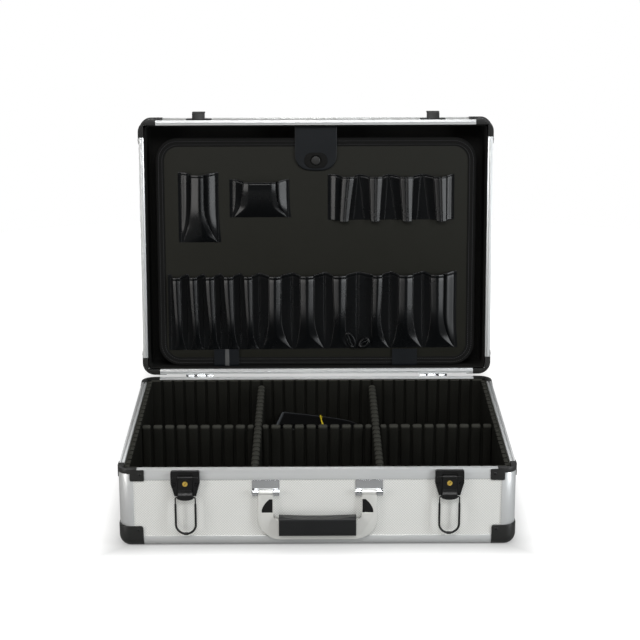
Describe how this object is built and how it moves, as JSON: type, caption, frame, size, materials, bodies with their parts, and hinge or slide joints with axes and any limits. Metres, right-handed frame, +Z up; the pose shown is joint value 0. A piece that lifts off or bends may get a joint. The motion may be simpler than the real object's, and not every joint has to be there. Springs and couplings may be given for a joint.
{
  "type": "hard tool case",
  "caption": "Rectangular aluminium-framed hard case with hinged lid, toggle latches, folding handle, padded compartments and a fold-down pocket pallet.",
  "frame": {"origin": "centre of the base underside", "axes": "+X to the right along the front, +Y from the front to the hinge side, +Z up out of the base"},
  "size_m": [0.4642, 0.4356, 0.442],
  "materials": {
    "panel_laminate": "fine diamond embossed aluminium skin on board",
    "anodised_profile": "satin anodised extrusion",
    "black_plastic": "moulded satin black",
    "black_rivet": "blackened steel",
    "chrome_steel": "chrome plated pressed steel",
    "lock_brass": "polished brass",
    "grip_rubber": "matte moulded grip",
    "ribbed_foam": "ribbed closed-cell foam",
    "lining_cloth": "black lining sheet",
    "pallet_cover": "grained vinyl over board",
    "binding_tape": "woven binding tape",
    "pocket_vinyl": "glossy black vinyl sheet",
    "strap_webbing": "woven nylon webbing",
    "yellow_rubber": "stretched rubber band"
  },
  "bodies": {
    "base": {"base_floor_panel": "panel_laminate", "base_front_wall": "panel_laminate", "base_rear_wall": "panel_laminate", "base_side_walls": "panel_laminate", "base_rims": "anodised_profile", "base_edge_profiles": "anodised_profile", "base_corner_posts": "anodised_profile", "base_bottom_corners": "black_plastic", "base_rim_corners": "black_plastic", "base_rivets": "black_rivet", "foam_floor": "ribbed_foam", "foam_front_wall": "ribbed_foam", "foam_rear_wall": "ribbed_foam", "foam_side_walls": "ribbed_foam", "divider_left": "ribbed_foam", "divider_right": "ribbed_foam", "cross_dividers": "ribbed_foam", "left_latch_housing": "black_plastic", "right_latch_housing": "black_plastic", "strap_lugs": "black_plastic", "handle_brackets": "chrome_steel", "handle_pins": "chrome_steel", "hinge_base_leaves": "chrome_steel", "hinge_pins": "chrome_steel", "strap_bundle": "strap_webbing", "strap_hooks": "chrome_steel", "rubber_band": "yellow_rubber"},
    "lid": {"lid_top_panel": "panel_laminate", "lid_front_wall": "panel_laminate", "lid_rear_wall": "panel_laminate", "lid_side_walls": "panel_laminate", "lid_rims": "anodised_profile", "lid_edge_profiles": "anodised_profile", "lid_corner_posts": "anodised_profile", "lid_top_corners": "black_plastic", "lid_rim_corners": "black_plastic", "lid_rivets": "black_rivet", "lid_lining": "lining_cloth", "latch_catches": "black_plastic", "hinge_lid_leaves": "chrome_steel"},
    "handle": {"handle_frame": "chrome_steel", "handle_grip": "grip_rubber"},
    "left_lever": {"left_latch_lever": "black_plastic"},
    "right_lever": {"right_latch_lever": "black_plastic"},
    "left_bail": {"left_latch_bail": "black_rivet"},
    "right_bail": {"right_latch_bail": "black_rivet"},
    "left_lock": {"left_lock_core": "lock_brass"},
    "right_lock": {"right_lock_core": "lock_brass"},
    "left_ring": {"left_d_ring": "chrome_steel"},
    "right_ring": {"right_d_ring": "chrome_steel"},
    "pallet": {"pallet_straps": "pocket_vinyl", "pallet_board": "pallet_cover", "pallet_binding": "binding_tape", "top_pockets": "pocket_vinyl", "tool_loops": "pocket_vinyl", "pocket_row": "pocket_vinyl", "pallet_stud": "black_plastic"},
    "tongue": {"snap_tongue": "pocket_vinyl", "tongue_plate": "black_plastic"}
  },
  "joints": [
    {"name": "lid_hinge", "type": "hinge", "parent": "base", "child": "lid", "pos_m": [0, 0.1698, 0.097], "axis": [-1, 0, 0], "range_deg": [-95.6, 0]},
    {"name": "handle_pivot", "type": "hinge", "parent": "base", "child": "handle", "pos_m": [0, -0.1702, 0.0696], "axis": [-1, 0, 0], "range_deg": [0, 90]},
    {"name": "left_lever_pivot", "type": "hinge", "parent": "base", "child": "left_lever", "pos_m": [-0.151, -0.171, 0.088], "axis": [1, 0, 0], "range_deg": [-90, 0]},
    {"name": "left_bail_pivot", "type": "hinge", "parent": "left_lever", "child": "left_bail", "pos_m": [-0.151, -0.1737, 0.065], "axis": [-1, 0, 0], "range_deg": [0, 180]},
    {"name": "left_lock_turn", "type": "hinge", "parent": "left_lever", "child": "left_lock", "pos_m": [-0.151, -0.171, 0.081], "axis": [0, 1, 0], "range_deg": [0, 90]},
    {"name": "left_ring_swing", "type": "hinge", "parent": "base", "child": "left_ring", "pos_m": [-0.2299, -0.06, 0.078], "axis": [0, 1, 0], "range_deg": [0, 150]},
    {"name": "right_lever_pivot", "type": "hinge", "parent": "base", "child": "right_lever", "pos_m": [0.151, -0.171, 0.088], "axis": [1, 0, 0], "range_deg": [-90, 0]},
    {"name": "right_bail_pivot", "type": "hinge", "parent": "right_lever", "child": "right_bail", "pos_m": [0.151, -0.1737, 0.065], "axis": [-1, 0, 0], "range_deg": [0, 180]},
    {"name": "right_lock_turn", "type": "hinge", "parent": "right_lever", "child": "right_lock", "pos_m": [0.151, -0.171, 0.081], "axis": [0, 1, 0], "range_deg": [0, 90]},
    {"name": "right_ring_swing", "type": "hinge", "parent": "base", "child": "right_ring", "pos_m": [0.2299, -0.06, 0.078], "axis": [0, -1, 0], "range_deg": [0, 150]},
    {"name": "pallet_fold", "type": "hinge", "parent": "lid", "child": "pallet", "pos_m": [0, 0.1814, 0.10772], "axis": [1, 0, 0], "range_deg": [0, 80], "deforming": ["snap_tongue", "tongue_plate"]},
    {"name": "tongue_hinge", "type": "hinge", "parent": "lid", "child": "tongue", "pos_m": [0, 0.21201, 0.42294], "axis": [-1, 0, 0], "range_deg": [0, 90]}
  ]
}
